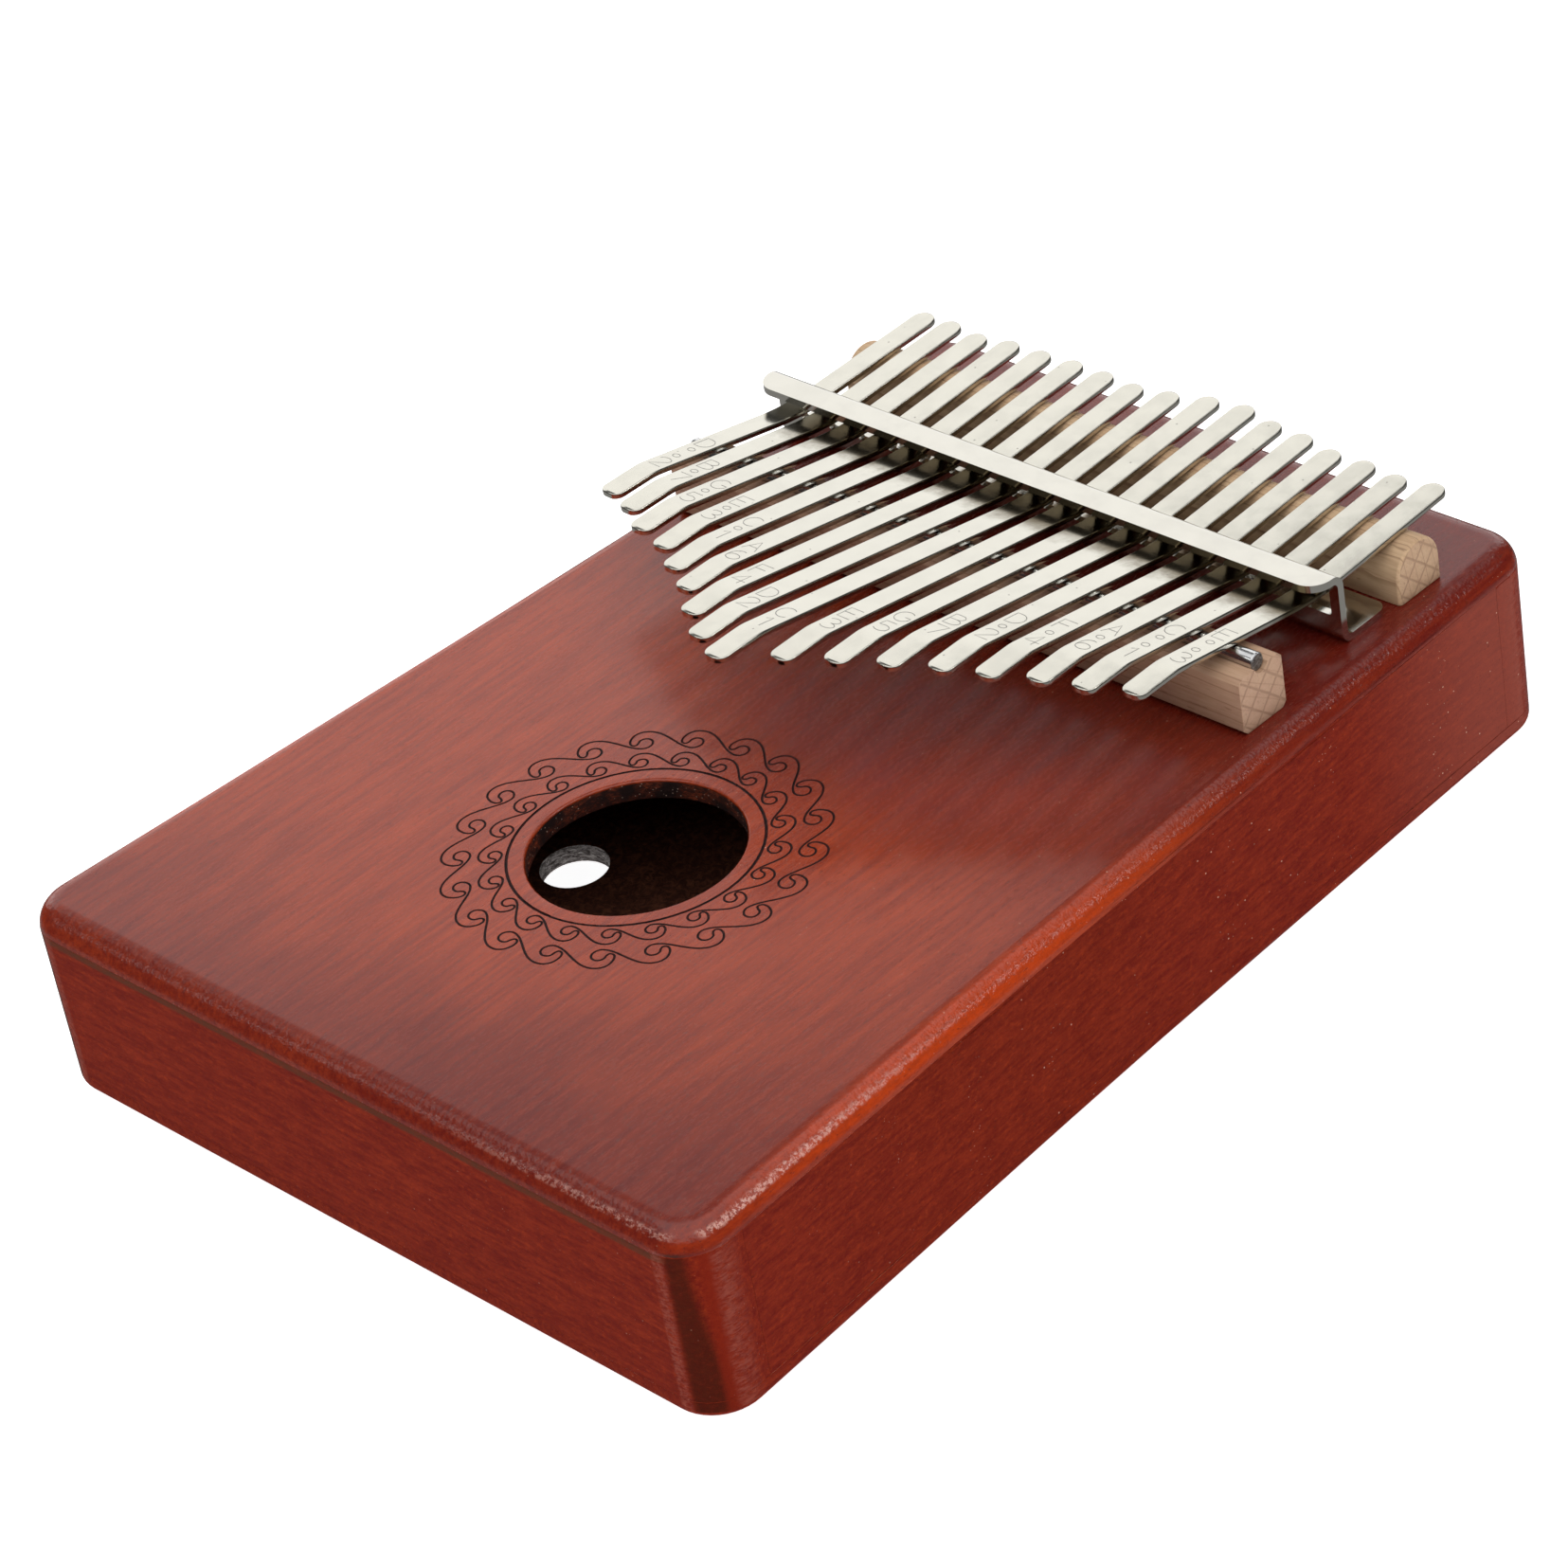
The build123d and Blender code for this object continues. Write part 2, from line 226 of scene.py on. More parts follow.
# ------------------------------------------------------------------------------------------
# Materials
# ------------------------------------------------------------------------------------------
def mahogany(name, grain, gloss, rough, deep, warm, figure):
    """Red-brown stained wood under satin lacquer.

    grain is how far streaks are drawn out along X, Y and Z; figure is how strongly they show.
    """
    s = Shade(name)
    streak = s.noise(s.stretched(grain), 1.3, 6.0, 0.62, 0.25)
    fine = s.noise(s.stretched([1 + (g - 1) * 0.25 for g in grain]), 5.0, 4.0, 0.65)
    pores = s.noise(s.stretched([1 + (g - 1) * 0.16 for g in grain]), 3.6, 3.0, 0.6)
    pore = s.span(pores, 0.60, 0.72)
    cloud = s.noise(s.stretched((1, 1, 1)), 0.03, 3.0, 0.5)
    mottle = s.noise(s.stretched([1 + (g - 1) * 0.12 for g in grain]), 1.7, 6.0, 0.72)
    x, y, z = s.split(s.stretched((1, 1, 1)))
    nx, ny, nz = s.split(s.coords.outputs["Normal"])
    square = s.calc("MAXIMUM", s.calc("ABSOLUTE", nx, 0), s.calc("ABSOLUTE", ny, 0))
    square = s.calc("MAXIMUM", square, s.calc("ABSOLUTE", nz, 0))
    edge = s.span(square, 0.995, 0.92)

    # Partly real stain and partly painted light: the top is warmest round the sound hole and darker towards both
    # ends.
    away = s.node("VectorMath", {0: s.stretched((2.2, 1, 1)), 1: (-13.6, -25, 31)}, 1, operation="DISTANCE")
    outward = s.span(s.calc("ADD", away, s.span(cloud, 0.2, 0.8, -8.0, 8.0)), 32.0, 76.0)
    middle = s.blend(s.span(streak, 0.30, 0.72), deep, warm)
    ends = s.blend(s.span(streak, 0.30, 0.72), END_DEEP, END_WARM)
    colour = s.blend(outward, middle, ends)
    # Painted shade: the top is darkened between the sound hole and the keys, where the keys screen it from the
    # light.
    painted_key_shade = s.calc("MULTIPLY", s.span(x, -30.0, 8.0), s.span(y, -24.0, -4.0))
    painted_key_shade = s.calc("MULTIPLY", painted_key_shade, s.span(nz, 0.7, 0.95))
    colour = s.blend(s.calc("MULTIPLY", painted_key_shade, 0.45), colour, END_DEEP)
    colour = s.blend(s.span(fine, 0.42, 0.80, 0.0, 0.40 * figure), colour, (0.0, 0.0, 0.0, 1))
    colour = s.blend(s.span(mottle, 0.48, 0.78, 0.0, 0.5 * figure), colour, STAIN_FLECK)

    # The long upper edges are coloured a paler orange towards the front.
    pale_edge = s.calc("MULTIPLY", s.span(nz, 0.12, 0.45), s.span(s.calc("ABSOLUTE", nx, 0), 0.12, 0.4))
    pale_edge = s.calc("MULTIPLY", pale_edge, s.span(s.calc("ABSOLUTE", x, 0), 44.0, 52.0))
    pale_edge = s.calc("MULTIPLY", pale_edge, s.span(y, 38.0, -30.0))
    pale_edge = s.calc("MULTIPLY", pale_edge, s.span(y, -95.0, -58.0, 0.3, 1.0))
    pale_edge = s.calc("MULTIPLY", pale_edge, s.span(mottle, 0.35, 0.6, 0.5, 1.0))
    colour = s.blend(s.calc("MULTIPLY", pale_edge, 0.85), colour, EDGE_ORANGE)

    # Painted reflection: a dull dark band along the foot of the board at the front.
    reflected_band = s.calc("MULTIPLY", s.span(ny, -0.90, -0.99), s.span(z, 27.65, 27.35))
    reflected_band = s.calc("MULTIPLY", reflected_band, s.span(z, 26.1, 26.6))
    colour = s.blend(s.calc("MULTIPLY", reflected_band, s.span(fine, 0.3, 0.6, 0.5, 0.9)), colour, REFLECTED_DULL)

    # Painted reflections round each upright corner: a dark band, a red band, and a pale, streaky patch beside them.
    upright = s.span(s.calc("ABSOLUTE", nz, 0), 0.30, 0.10)
    sideways = s.calc("ABSOLUTE", nx, 0)
    lean = s.calc("SUBTRACT", sideways, s.span(z, 27.0, 3.0, 0.0, 0.22))
    dark = s.calc("MULTIPLY", s.span(sideways, 0.24, 0.42), s.span(lean, 0.76, 0.56))
    dark = s.calc("MULTIPLY", dark, s.span(mottle, 0.3, 0.6, 0.75, 1.0))
    red = s.calc("MULTIPLY", s.span(sideways, 0.76, 0.86), s.span(sideways, 0.98, 0.92))
    colour = s.blend(s.calc("MULTIPLY", s.calc("MULTIPLY", dark, upright), 0.85), colour, DARK_PORE_AND_REFLECTION)
    colour = s.blend(s.calc("MULTIPLY", s.calc("MULTIPLY", red, upright), 0.7), colour, CORNER_RED)
    from_end = s.calc("SUBTRACT", 92.5, s.calc("ABSOLUTE", y, 0))
    reflected_streaks = s.calc("MULTIPLY", s.span(sideways, 0.88, 0.96), s.span(from_end, 9.6, 5.6))
    narrow = s.calc("MULTIPLY", s.span(sideways, 0.02, 0.12), s.span(sideways, 0.36, 0.22))
    reflected_streaks = s.calc("ADD", reflected_streaks, narrow)
    streaky = s.noise(s.stretched((1, 3, 0.7)), 1.6, 4.0, 0.65)
    reflected_streaks = s.calc("MULTIPLY", reflected_streaks, s.span(streaky, 0.34, 0.66, 0.05, 0.6))
    colour = s.blend(s.calc("MULTIPLY", reflected_streaks, upright), colour, REFLECTED_PALE)
    # Painted reflection: a pale haze on the long sides towards the rear.
    painted_rear_sheen = s.calc("MULTIPLY", s.span(sideways, 0.96, 0.995), s.span(y, 44.0, 84.0, 0.0, 0.55))
    colour = s.blend(painted_rear_sheen, colour, REFLECTED_PALE)
    colour = s.blend(s.calc("MULTIPLY", pore, 0.5), colour, DARK_PORE_AND_REFLECTION)

    # Painted highlights: pale flecks along the two upper edges that meet at the front right.
    crest = s.calc("MULTIPLY", s.span(nz, 0.56, 0.66), s.span(nz, 0.84, 0.74))
    painted_glints = s.calc("MULTIPLY", s.span(nx, 0.40, 0.55), s.span(y, -30.0, -76.0, 0.0, 1.0))
    painted_glints = s.calc("MULTIPLY", painted_glints, s.span(ny, -0.42, -0.22))
    front = s.calc("MULTIPLY", s.span(ny, -0.40, -0.55), s.span(x, 8.0, 56.0, 0.0, 0.55))
    front = s.calc("MULTIPLY", front, s.span(nx, 0.42, 0.22))
    glint_breakup = s.noise(s.stretched((1, 1, 1)), 1.5, 4.0, 0.75)
    painted_glints = s.calc("MULTIPLY", s.calc("MAXIMUM", painted_glints, front), crest)
    painted_glints = s.calc("MULTIPLY", painted_glints, s.span(glint_breakup, 0.46, 0.58))
    colour = s.blend(s.calc("MULTIPLY", painted_glints, 0.8), colour, GLINT_PALE)

    # Dust in the finish, thicker between the sound hole and the keys.
    cells = s.stretched((1, 1, 1))
    dusty = s.calc("MULTIPLY", s.span(x, -30.0, 10.0, 0.25, 1.0), s.span(y, -70.0, -15.0, 0.25, 1.0))
    for scale, size, often in ((0.5, 0.075, 0.55), (1.1, 0.09, 0.72)):
        distance = s.node("TexVoronoi", {"Vector": cells, "Scale": scale}, 0)
        chance = s.split(s.node("TexVoronoi", {"Vector": cells, "Scale": scale}, 1))[0]
        speck = s.calc("MULTIPLY", s.span(distance, size, size * 0.5), s.span(chance, often, often + 0.1))
        colour = s.blend(s.calc("MULTIPLY", speck, s.calc("MULTIPLY", dusty, 0.7)), colour, DUST)

    low_rough = s.span(mottle, 0.3, 0.7, rough - 0.03, rough + 0.04)
    peel = s.noise(s.stretched((1, 1, 1)), 1.6, 3.0, 0.6)
    peel_depth = s.calc("MULTIPLY", peel, s.span(square, 0.998, 0.95, 0.004, 1.0))
    normal = s.bump(peel_depth, 0.09 * MM)
    normal = s.bump(s.calc("MULTIPLY", pore, -1.0), 0.012 * MM, normal)
    shine = s.calc("ADD", low_rough, s.calc("MULTIPLY", edge, -0.12))
    return s.finish(Base_Color=colour, Roughness=shine, Normal=normal, Specular_IOR_Level=gloss)


def bare_mahogany(name):
    """Unlacquered stained wood round the wall of the sound hole."""
    s = Shade(name)
    fibre = s.noise(s.stretched((2.5, 2.5, 1)), 2.4, 6.0, 0.75, 1.2)
    patch = s.noise(s.stretched((1, 1, 1)), 0.22, 3.0, 0.6)
    colour = s.blend(s.span(fibre, 0.42, 0.72), linear(62, 28, 22), linear(196, 92, 56))
    colour = s.blend(s.span(patch, 0.4, 0.66), linear(44, 26, 24), colour)
    distance = s.node("TexVoronoi", {"Vector": s.stretched((1, 1, 1)), "Scale": 1.6}, 0)
    colour = s.blend(s.span(distance, 0.20, 0.10, 0.0, 0.8), colour, linear(236, 206, 186))
    normal = s.bump(fibre, 0.3 * MM)
    return s.finish(Base_Color=colour, Roughness=0.7, Normal=normal, Specular_IOR_Level=0.25)


def unfinished(name, deep, pale):
    """Raw wood inside the box, and the scorched fibrous walls of the two back holes."""
    s = Shade(name)
    fibre = s.noise(s.stretched((3, 3, 1)), 2.2, 6.0, 0.75, 1.0)
    colour = s.blend(s.span(fibre, 0.40, 0.70), deep, pale)
    return s.finish(Base_Color=colour, Roughness=0.8, Normal=s.bump(fibre, 0.3 * MM), Specular_IOR_Level=0.2)


def burnt_line(name):
    """Scorched wood in the engraved lines."""
    s = Shade(name)
    grain = s.noise(s.stretched((1, 3, 1)), 1.6, 4.0, 0.6)
    colour = s.blend(s.span(grain, 0.3, 0.75), linear(20, 8, 8), linear(58, 18, 14))
    normal = s.bump(grain, 0.05 * MM)
    return s.finish(Base_Color=colour, Roughness=0.65, Normal=normal, Specular_IOR_Level=0.2)


def beech(name, light, dark, tilt):
    """Sawn beech: growth lines that run aslant, short rays, and saw marks on the ends."""
    s = Shade(name)
    turned = s.node("Mapping", {"Vector": s.stretched((1, 1, 1)), "Rotation": tilt})
    warp = s.noise(turned, 0.12, 2.0, 0.5)
    bands = {"Vector": turned, "Scale": 0.16, "Distortion": 1.2, "Detail": 2.0, "Detail Scale": 0.6}
    growth = s.node("TexWave", bands, 1, wave_type="BANDS", bands_direction="Z", wave_profile="SAW")
    fibre = s.noise(s.stretched((14, 1, 1)), 2.4, 5.0, 0.65)
    rays = s.noise(s.stretched((7, 1, 1)), 1.9, 2.0, 0.5)
    pore = s.span(rays, 0.64, 0.74)
    colour = s.blend(s.span(warp, 0.3, 0.7), light, dark)
    colour = s.blend(s.span(fibre, 0.3, 0.8, 0.0, 0.5), colour, linear(166, 122, 92))
    colour = s.blend(s.span(growth, 0.86, 1.0, 0.0, 0.55), colour, linear(140, 98, 72))
    colour = s.blend(s.calc("MULTIPLY", pore, 0.5), colour, linear(122, 80, 58))

    # The sawn ends: crossed saw lines and a greyer, open grain.
    nx = s.split(s.coords.outputs["Normal"])[0]
    ends = s.span(s.calc("ABSOLUTE", nx, 0), 0.8, 0.95)
    crossed = []
    for angle in (42, -48):
        lines = s.node("Mapping", {"Vector": s.stretched((1, 1, 1)), "Rotation": (math.radians(angle), 0, 0)})
        inputs = {"Vector": lines, "Scale": 0.115, "Distortion": 0.8, "Detail": 1.0, "Detail Scale": 0.5}
        wave = s.node("TexWave", inputs, 1, wave_type="BANDS", bands_direction="Z")
        crossed.append(s.span(wave, 0.93, 1.0))
    cross = s.calc("MULTIPLY", s.calc("MAXIMUM", crossed[0], crossed[1]), ends)
    colour = s.blend(s.calc("MULTIPLY", ends, 0.45), colour, linear(176, 142, 118))
    colour = s.blend(s.calc("MULTIPLY", cross, 0.42), colour, linear(128, 94, 72))
    normal = s.bump(fibre, 0.05 * MM)
    normal = s.bump(s.calc("MULTIPLY", cross, -1.0), 0.06 * MM, normal)
    return s.finish(Base_Color=colour, Roughness=0.62, Normal=normal, Specular_IOR_Level=0.3)


def polished(name, tint, low, high, ripple, shaded=False):
    """Bright plated steel with faint polishing scratches.

    shaded paints shade onto the keys just in front of the bracket, apart from the leftmost one.
    """
    s = Shade(name)
    scratch = s.noise(s.stretched((1, 30, 1)), 5.0, 3.0, 0.6)
    smear = s.noise(s.stretched((1, 1, 1)), 0.25, 4.0, 0.6)
    wave = s.noise(s.stretched((1, 3, 1)), 0.16, 1.0, 0.4)
    darker = tuple(c * 0.95 for c in tint[:3]) + (1.0,)
    colour = s.blend(s.span(smear, 0.35, 0.75), tint, darker)
    if shaded:
        # Painted shade: the keys are darkened just in front of the bracket's web, fading out on the leftmost key.
        x, y = s.split(s.stretched((1, 1, 1)))[:2]
        y = s.calc("ADD", y, s.span(smear, 0.2, 0.8, -1.2, 1.2))
        painted_web_shade = s.calc("MULTIPLY", s.span(y, 42.0, 47.5), s.span(y, 56.5, 54.5))
        painted_web_shade = s.calc("MULTIPLY", painted_web_shade, s.span(x, -50.0, -42.0))
        colour = s.blend(s.calc("MULTIPLY", painted_web_shade, 0.97), colour, (0.12, 0.09, 0.046, 1))
        pit = s.node("TexVoronoi", {"Vector": s.stretched((1, 1, 1)), "Scale": 0.35}, 0)
        colour = s.blend(s.span(pit, 0.07, 0.04, 0.0, 0.5), colour, (0.1, 0.09, 0.08, 1))
    rough = s.calc("ADD", s.span(smear, 0.3, 0.7, low, high), s.span(scratch, 0.55, 0.8, 0.0, 0.04))
    normal = s.bump(wave, ripple)
    normal = s.bump(scratch, 0.001 * MM, normal)
    return s.finish(Base_Color=colour, Roughness=rough, Normal=normal, Metallic=1.0)


def drawn_rod(name):
    """Drawn steel rod with fine lines along it and rough sheared ends."""
    s = Shade(name)
    lines = s.noise(s.stretched((40, 1, 1)), 6.0, 3.0, 0.6)
    rough_end = s.noise(s.stretched((1, 1, 1)), 3.0, 5.0, 0.7)
    nx = s.split(s.coords.outputs["Normal"])[0]
    ends = s.span(s.calc("ABSOLUTE", nx, 0), 0.6, 0.9)
    colour = s.blend(s.span(lines, 0.3, 0.8), (0.66, 0.66, 0.66, 1), (0.5, 0.5, 0.51, 1))
    colour = s.blend(s.calc("MULTIPLY", ends, s.span(rough_end, 0.4, 0.6)), colour, (0.24, 0.24, 0.25, 1))
    rough = s.calc("ADD", s.span(lines, 0.3, 0.8, 0.16, 0.3), s.calc("MULTIPLY", ends, 0.15))
    height = s.calc("MULTIPLY", rough_end, ends)
    return s.finish(Base_Color=colour, Roughness=rough, Normal=s.bump(height, 0.25 * MM), Metallic=1.0)


def etched(name):
    """The thin grey etched marks on the keys."""
    s = Shade(name)
    patch = s.noise(s.stretched((1, 1, 1)), 4.0, 3.0, 0.6)
    colour = s.blend(s.span(patch, 0.3, 0.7), (0.27, 0.26, 0.24, 1), (0.44, 0.43, 0.39, 1))
    return s.finish(Base_Color=colour, Roughness=0.55, Metallic=0.6, Normal=s.bump(patch, 0.01 * MM))


def raw_spruce(name):
    """Plain unfinished softwood with straight growth lines along X."""
    s = Shade(name)
    lines = s.node("TexWave", {"Vector": s.stretched((1, 1, 1)), "Scale": 0.3, "Distortion": 1.5}, 1,
                   wave_type="BANDS", bands_direction="Y")
    fibre = s.noise(s.stretched((20, 1, 1)), 2.0, 4.0, 0.6)
    colour = s.blend(s.span(fibre, 0.3, 0.7), linear(214, 182, 136), linear(190, 152, 106))
    colour = s.blend(s.span(lines, 0.7, 1.0, 0.0, 0.6), colour, linear(164, 116, 70))
    return s.finish(Base_Color=colour, Roughness=0.75, Normal=s.bump(fibre, 0.08 * MM))


# ------------------------------------------------------------------------------------------
# Geometry helpers
# ------------------------------------------------------------------------------------------
def mesh_object(name, mesh, *materials):
    made = bpy.data.objects.new(name, mesh)
    bpy.context.scene.collection.objects.link(made)
    for material in materials:
        mesh.materials.append(material)
    return made


def welded_copy(node):
    """A CAD node's mesh as one welded surface with flat areas joined up."""
    mesh = frame["nodes"][node].data.copy()
    mesh.materials.clear()
    bm = bmesh.new()
    bm.from_mesh(mesh)
    bmesh.ops.remove_doubles(bm, verts=bm.verts, dist=0.002 * MM)
    bmesh.ops.dissolve_limit(bm, angle_limit=math.radians(0.4), verts=bm.verts, edges=bm.edges)
    for face in bm.faces:
        face.smooth = True
        face.material_index = 0
    bm.to_mesh(mesh)
    bm.free()
    for layer in [a.name for a in mesh.attributes if a.name == "custom_normal"]:
        mesh.attributes.remove(mesh.attributes[layer])
    return mesh


def settle(made):
    """Replaces an object's mesh by its mesh with every modifier applied."""
    graph = bpy.context.evaluated_depsgraph_get()
    final = bpy.data.meshes.new_from_object(made.evaluated_get(graph), depsgraph=graph)
    made.modifiers.clear()
    made.data = final


def soften(made, width, segments=2, angle=35.0):
    """Breaks an object's sharp edges."""
    bevel = made.modifiers.new("edge_break", "BEVEL")
    bevel.width = width
    bevel.segments = segments
    bevel.limit_method = "ANGLE"
    bevel.angle_limit = math.radians(angle)
    return made


def flatten_normals(made):
    """Keeps wide flat faces flat beside small rounded ones."""
    weight = made.modifiers.new("weighted", "WEIGHTED_NORMAL")
    weight.keep_sharp = True
    weight.weight = 50
    return made


def detailed(node, name, slot, width, *materials, angle=35.0, segments=2):
    """A finished piece that stands for a CAD node: the same shape with its edges broken."""
    made = mesh_object(name, welded_copy(node), *materials)
    settle(soften(made, width, segments, angle))
    settle(flatten_normals(made))
    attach(made, frame["nodes"][node]["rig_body"])
    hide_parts(node)
    return made


def paint_faces(made, index, chosen):
    """Gives a material slot to the faces that chosen(centre, normal) picks."""
    for face in made.data.polygons:
        if chosen(face.center, face.normal):
            face.material_index = index


# ------------------------------------------------------------------------------------------
# Sound box
# ------------------------------------------------------------------------------------------
def scroll_cutter(level, material):
    """Both rows of running scrolls, and the ring inside them, as closed round tubes half in the board."""
    curve = bpy.data.curves.new("scroll_cutter", "CURVE")
    curve.dimensions = "3D"
    curve.bevel_depth = LINE_RADIUS
    curve.bevel_resolution = 1
    curve.resolution_u = 3
    pitch = 360.0 / SCROLLS
    for eye_radius, first_eye in SCROLL_ROWS:
        spline = curve.splines.new("BEZIER")
        spline.bezier_points.add(SCROLLS * len(SCROLL_POINTS) - 1)
        spline.use_cyclic_u = True
        for count, point in enumerate(spline.bezier_points):
            on, share = SCROLL_POINTS[count % len(SCROLL_POINTS)]
            angle = math.radians(first_eye - on - pitch * (count // len(SCROLL_POINTS)))
            radius = eye_radius * (1 + share)
            point.co = HOLE_CENTRE + Vector((radius * math.cos(angle), radius * math.sin(angle), level))
            point.handle_left_type = point.handle_right_type = "AUTO"
    ring = curve.splines.new("BEZIER")
    ring.bezier_points.add(RING_POINTS - 1)
    ring.use_cyclic_u = True
    for count, point in enumerate(ring.bezier_points):
        angle = math.radians(360 / RING_POINTS * count + 5)
        point.co = HOLE_CENTRE + Vector((RING_RADIUS * math.cos(angle), RING_RADIUS * math.sin(angle), level))
        point.handle_left_type = point.handle_right_type = "AUTO"
    tube = bpy.data.objects.new("scroll_cutter", curve)
    bpy.context.scene.collection.objects.link(tube)
    graph = bpy.context.evaluated_depsgraph_get()
    mesh = bpy.data.meshes.new_from_object(tube.evaluated_get(graph), depsgraph=graph)
    bpy.data.objects.remove(tube)
    mesh.materials.clear()
    return mesh_object("scroll_cutter_mesh", mesh, material)


def make_soundboard(outer, bare, burnt, raw):
    board_bottom, board_top = (corner.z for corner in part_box("soundboard"))
    board = mesh_object("soundboard_engraved", welded_copy("soundboard"), outer, bare, burnt, raw)
    settle(soften(board, 0.09 * MM, angle=50.0))

    def off_centre(point):
        return (Vector((point.x, point.y, 0)) - HOLE_CENTRE).length

    paint_faces(board, 1, lambda c, n: off_centre(c) < HOLE_RADIUS + 0.1 * MM and n.z < 0.5)
    paint_faces(board, 3, lambda c, n: n.z < -0.5)
    for face in board.data.polygons:
        corners = [board.data.vertices[v].co for v in face.vertices]
        if all(abs(off_centre(c) - RING_RADIUS) < 0.45 * MM and c.z > board_top - 0.6 * MM for c in corners):
            face.material_index = 2
    cutter = scroll_cutter(board_top, burnt)
    cut = board.modifiers.new("scrolls", "BOOLEAN")
    cut.operation = "DIFFERENCE"
    cut.solver = "EXACT"
    cut.material_mode = "TRANSFER"
    cut.object = cutter
    settle(board)
    bpy.data.objects.remove(cutter)
    settle(flatten_normals(board))
    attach(board, "sound_box")
    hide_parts("soundboard")


def make_back_plate(outer, raw, scorched):
    """The back, dark inside and round its two holes, which lie well within its edge band."""
    materials = (outer, raw, scorched)
    made = detailed("back_plate", "back_plate_finished", "mahogany", 0.09 * MM, *materials, angle=50.0)
    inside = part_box("rear_block")[1].x - EDGE_BAND
    paint_faces(made, 1, lambda c, n: n.z > 0.5)
    paint_faces(made, 2, lambda c, n: abs(n.z) < 0.5 and abs(c.x) < inside and abs(c.y) < inside)


def make_rim(node, outer, raw):
    """One length of the rim, lacquered outside and dark inside."""
    made = detailed(node, node + "_finished", "mahogany", 0.03 * MM, outer, raw, angle=50.0)
    paint_faces(made, 1, lambda c, n: c.x * n.x + c.y * n.y < 0 and abs(n.z) < 0.7)


# ------------------------------------------------------------------------------------------
# Keys
# ------------------------------------------------------------------------------------------
class KeyShape:
    """Where a CAD key runs: its line in plan, and the heights of its upper and lower faces."""

    def __init__(self, node):
        mesh = frame["nodes"][node].data
        mesh.calc_loop_triangles()
        points = np.array([v.co for v in mesh.vertices])
        corners = points[np.array([t.vertices[:] for t in mesh.loop_triangles])]
        area = np.array([t.area for t in mesh.loop_triangles])
        total = corners.sum(axis=1)
        self.middle = (total / 3 * area[:, None]).sum(axis=0) / area.sum()
        corners = corners - self.middle
        total = corners.sum(axis=1)
        spread = np.einsum("t,ti,tj->ij", area, total, total)
        spread += np.einsum("t,tki,tkj->ij", area, corners, corners)
        along = np.linalg.eigh(spread[:2, :2])[1][:, -1]
        self.along = along * np.sign(along[1])
        self.across = np.array((self.along[1], -self.along[0]))
        distance = (points[:, :2] - self.middle[:2]) @ self.along
        self.start, self.end = distance.min(), distance.max()
        self.faces = {}
        for side in (1, -1):
            chosen = sorted({v for p in mesh.polygons if p.normal.z * side > 0.5 for v in p.vertices})
            order = sorted(chosen, key=lambda v: distance[v])
            self.faces[side] = (distance[order], points[order, 2])

    def height(self, distance, side):
        return float(np.interp(distance, *self.faces[side]))

    def place(self, distance, offset, height):
        """A point at a distance along the key, an offset across it, and a height."""
        flat = self.middle[:2] + self.along * distance + self.across * offset
        return Vector((flat[0], flat[1], height))

    def half_width(self, distance):
        for end, corner in ((distance - self.start, TIP_CORNER), (self.end - distance, TAIL_CORNER)):
            if end < corner:
                return KEY_WIDTH / 2 - corner + math.sqrt(max(0.0, corner**2 - (corner - end) ** 2))
        return KEY_WIDTH / 2


def key_stations(shape):
    """Distances along a key, close together round its two ends."""
    arc = [1 - math.cos(math.radians(a)) for a in range(0, 90, 10)]
    tip = [shape.start + TIP_CORNER * a for a in arc]
    tail = [shape.end - TAIL_CORNER * a for a in reversed(arc)]
    start, end = shape.start + TIP_CORNER, shape.end - TAIL_CORNER
    count = round((end - start) / STATION_STEP)
    return tip + [start + (end - start) * i / count for i in range(count + 1)] + tail


def key_ring(shape, distance, inset):
    """One cross-section of a key, with rounded edges."""
    half = max(shape.half_width(distance) - inset, 0.05 * MM)
    top = shape.height(distance, 1) - inset
    bottom = shape.height(distance, -1) + inset
    edge = min(KEY_EDGE, half * 0.8, (top - bottom) * 0.45)
    ring = []
    high, low = top - edge, bottom + edge
    for side, level, first in ((1, high, 0), (-1, high, 90), (-1, low, 180), (1, low, 270)):
        for turn in (0, 30, 60, 90):
            angle = math.radians(first + turn)
            ring.append((side * (half - edge) + edge * math.cos(angle), level + edge * math.sin(angle)))
    return [shape.place(distance, x, z) for x, z in ring]


def make_key(number, steel):
    node = f"key_{number:02d}"
    shape = KeyShape(node)
    stations = key_stations(shape)
    insets = [0.0] * len(stations)
    insets[0] = insets[-1] = 0.14 * MM
    insets[1] = insets[-2] = 0.05 * MM
    bm = bmesh.new()
    rings = [[bm.verts.new(p) for p in key_ring(shape, d, i)] for d, i in zip(stations, insets)]
    for first, second in zip(rings, rings[1:]):
        for i in range(len(first)):
            j = (i + 1) % len(first)
            bm.faces.new((first[i], first[j], second[j], second[i]))
    bm.faces.new(list(reversed(rings[0])))
    bm.faces.new(rings[-1])
    bmesh.ops.recalc_face_normals(bm, faces=bm.faces)
    for face in bm.faces:
        face.smooth = True
    mesh = bpy.data.meshes.new(node + "_strip")
    bm.to_mesh(mesh)
    bm.free()
    strip = mesh_object(node + "_strip", mesh, steel)
    settle(flatten_normals(strip))
    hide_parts(node)
    bend_key_piece(strip, number)
    return shape


